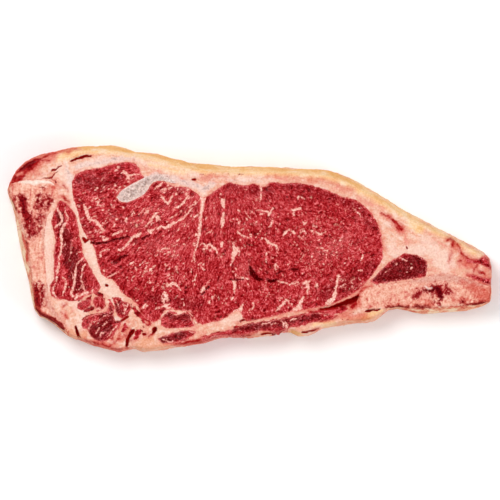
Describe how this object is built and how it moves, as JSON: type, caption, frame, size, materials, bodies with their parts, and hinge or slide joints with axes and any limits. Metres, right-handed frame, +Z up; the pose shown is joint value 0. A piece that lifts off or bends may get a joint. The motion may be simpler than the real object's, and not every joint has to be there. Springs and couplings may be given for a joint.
{
  "type": "beef loin chop",
  "caption": "Raw bone-in beef loin chop lying flat: eye muscle and small muscles in a fat cap, with sawn feather bone and rib, for food scenes.",
  "frame": {"origin": "under the middle of the chop's bounding box, on the cut face it rests on", "axes": "+X from the feather bone to the sawn rib end, +Y towards the fat cap, +Z up through the shown cut face"},
  "size_m": [0.2648, 0.1128, 0.0266],
  "materials": {
    "lean": "moist raw lean, deep red with pale marbling and a wet sheen",
    "fat": "firm raw fat, cream to pink, dried to honey yellow on its outside",
    "bone": "freshly sawn bone, pink cream with red spongy marrow",
    "gristle": "translucent grey-white gristle"
  },
  "bodies": {
    "root": {"fat": "fat", "eye_muscle": "lean", "chine_muscle": "lean", "corner_muscle": "lean", "spur_muscle": "lean", "notch_muscle": "lean", "fork_muscle": "lean", "under_muscle": "lean", "belly_strip": "lean", "rib_strip": "lean", "rib_muscle": "lean", "tip_strip_upper": "lean", "tip_strip_lower": "lean", "feather_bone": "bone", "rib_bone": "bone", "gristle": "gristle"}
  },
  "joints": []
}
